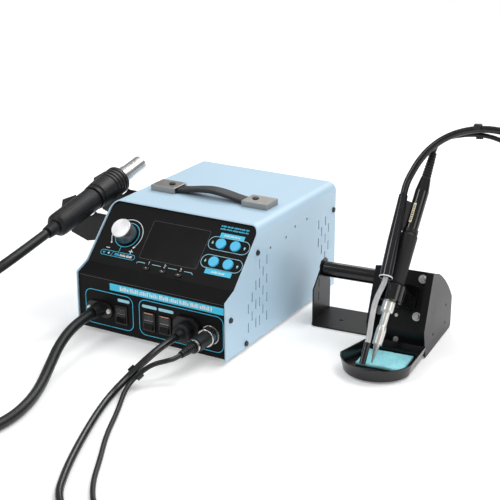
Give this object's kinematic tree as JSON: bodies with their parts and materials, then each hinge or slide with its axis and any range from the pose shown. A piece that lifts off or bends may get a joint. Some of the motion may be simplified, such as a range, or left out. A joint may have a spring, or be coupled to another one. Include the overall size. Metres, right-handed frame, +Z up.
{
  "type": "soldering iron station",
  "caption": "Bench soldering station: a sloped-front control unit with a hot-air gun in a side cradle, and a separate stand that holds the soldering iron with its fume suction tube.",
  "frame": {"origin": "on the bench, under the middle of the whole station's box without its cords", "axes": "+Z up, the control unit's front faces -Y, the hot-air gun at -X and the iron stand at +X"},
  "size_m": [0.7269, 0.6134, 0.2334],
  "materials": {
    "sky_paint": "fine satin powder coat",
    "zinc_steel": "zinc plated sheet",
    "black_paint": "satin black",
    "dark_window": "polished",
    "circuit_board": "green solder mask",
    "knob_aluminium": "turned and brushed",
    "cap_steel": "brushed",
    "strap_vinyl": "grained vinyl",
    "black_plastic": "fine spark texture",
    "gloss_black": "gloss",
    "core_steel": "varnished laminations",
    "pump_plastic": "plain",
    "nickel": "satin nickel",
    "nozzle_steel": "turned, slightly heat tinted",
    "heater_ceramic": "unglazed",
    "black_rubber": "matt",
    "tray_plastic": "semi-gloss",
    "blue_sponge": "open cellulose",
    "black_screw": "black oxide",
    "tip_plating": "iron plated",
    "button_blue": "satin silicone",
    "clear_silicone": "frosted clear tube",
    "hose_silicone": "satin silicone"
  },
  "bodies": {
    "root": {"air_pumps": "pump_plastic", "chassis": "zinc_steel", "control_board": "circuit_board", "cover": "sky_paint", "display_window": "dark_window", "feet": "black_rubber", "front_panel": "black_paint", "fume_hose": "hose_silicone", "fume_plug": "black_plastic", "fume_socket": "black_plastic", "gun_cradle": "black_paint", "gun_hose": "black_rubber", "handle_caps": "cap_steel", "handle_strap": "strap_vinyl", "holder_cup": "black_plastic", "hose_gland": "black_plastic", "iron_cable": "black_rubber", "iron_plug": "black_plastic", "iron_socket": "nickel", "mains_inlet": "black_plastic", "reel_bracket": "black_paint", "rocker_housings": "black_plastic", "screws": "black_screw", "sponge": "blue_sponge", "stand_body": "black_paint", "transformer": "core_steel", "tray": "tray_plastic"},
    "knob": {"airflow_knob": "knob_aluminium", "knob_shaft": "zinc_steel"},
    "temp_button_1": {"temp_button_1": "button_blue"},
    "temp_button_2": {"temp_button_2": "button_blue"},
    "temp_button_3": {"temp_button_3": "button_blue"},
    "temp_button_4": {"temp_button_4": "button_blue"},
    "channel_button_1": {"channel_button_1": "gloss_black"},
    "channel_button_2": {"channel_button_2": "gloss_black"},
    "channel_button_3": {"channel_button_3": "gloss_black"},
    "hot_air_rocker": {"hot_air_rocker": "gloss_black"},
    "iron_rocker": {"iron_rocker": "gloss_black"},
    "fume_rocker": {"fume_rocker": "gloss_black"},
    "plug_ring": {"plug_ring": "nickel"},
    "gun": {"gun_grip": "black_plastic", "gun_collar": "black_plastic", "gun_nozzle": "nozzle_steel", "gun_heater": "heater_ceramic", "gun_tail": "black_rubber"},
    "iron": {"soldering_tip": "tip_plating", "tip_barrel": "nozzle_steel", "heater_element": "heater_ceramic", "iron_nut": "nozzle_steel", "iron_handle": "gloss_black", "iron_grip": "black_rubber", "iron_relief": "black_rubber", "fume_sleeve": "black_plastic", "fume_clip": "black_plastic", "suction_tube": "clear_silicone", "suction_nozzle": "black_plastic", "iron_cable_lead": "black_rubber", "fume_hose_lead": "hose_silicone"},
    "reel_roller": {"reel_roller": "black_plastic"}
  },
  "joints": [
    {"name": "knob_turn", "type": "hinge", "parent": "root", "child": "knob", "pos_m": [-0.108, -0.07161, 0.10116], "axis": [0, -0.7071, 0.7071], "range_deg": [-150, 150]},
    {"name": "temp_button_1_press", "type": "slide", "parent": "root", "child": "temp_button_1", "axis": [0, 0.7071, -0.7071], "range_m": [0, 0.0008], "stiffness_N_per_m": 1200, "springref_m": -0.0002},
    {"name": "temp_button_2_press", "type": "slide", "parent": "root", "child": "temp_button_2", "axis": [0, 0.7071, -0.7071], "range_m": [0, 0.0008], "stiffness_N_per_m": 1200, "springref_m": -0.0002},
    {"name": "temp_button_3_press", "type": "slide", "parent": "root", "child": "temp_button_3", "axis": [0, 0.7071, -0.7071], "range_m": [0, 0.0008], "stiffness_N_per_m": 1200, "springref_m": -0.0002},
    {"name": "temp_button_4_press", "type": "slide", "parent": "root", "child": "temp_button_4", "axis": [0, 0.7071, -0.7071], "range_m": [0, 0.0008], "stiffness_N_per_m": 1200, "springref_m": -0.0002},
    {"name": "channel_button_1_press", "type": "slide", "parent": "root", "child": "channel_button_1", "axis": [0, 0.7071, -0.7071], "range_m": [0, 0.0008], "stiffness_N_per_m": 1200, "springref_m": -0.0002},
    {"name": "channel_button_2_press", "type": "slide", "parent": "root", "child": "channel_button_2", "axis": [0, 0.7071, -0.7071], "range_m": [0, 0.0008], "stiffness_N_per_m": 1200, "springref_m": -0.0002},
    {"name": "channel_button_3_press", "type": "slide", "parent": "root", "child": "channel_button_3", "axis": [0, 0.7071, -0.7071], "range_m": [0, 0.0008], "stiffness_N_per_m": 1200, "springref_m": -0.0002},
    {"name": "hot_air_rocker_tilt", "type": "hinge", "parent": "root", "child": "hot_air_rocker", "pos_m": [-0.0865, -0.1164, 0.028], "axis": [1, 0, 0], "range_deg": [0, 16]},
    {"name": "iron_rocker_tilt", "type": "hinge", "parent": "root", "child": "iron_rocker", "pos_m": [-0.051, -0.1164, 0.028], "axis": [1, 0, 0], "range_deg": [0, 16]},
    {"name": "fume_rocker_tilt", "type": "hinge", "parent": "root", "child": "fume_rocker", "pos_m": [-0.031, -0.1164, 0.028], "axis": [1, 0, 0], "range_deg": [0, 16]},
    {"name": "plug_ring_turn", "type": "hinge", "parent": "root", "child": "plug_ring", "pos_m": [0.025, -0.1236, 0.03], "axis": [0, -1, 0], "range_deg": [0, 360]},
    {"name": "gun_lift", "type": "slide", "parent": "root", "child": "gun", "axis": [0, 0, 1], "range_m": [0, 0.06]},
    {"name": "iron_draw", "type": "slide", "parent": "root", "child": "iron", "axis": [0.0156, 0.5721, 0.8201], "range_m": [0, 0.09]},
    {"name": "reel_roller_spin", "type": "hinge", "parent": "root", "child": "reel_roller", "pos_m": [0.1087, 0.05584, 0.055], "axis": [0.9962, 0.0872, 0], "continuous": true}
  ]
}
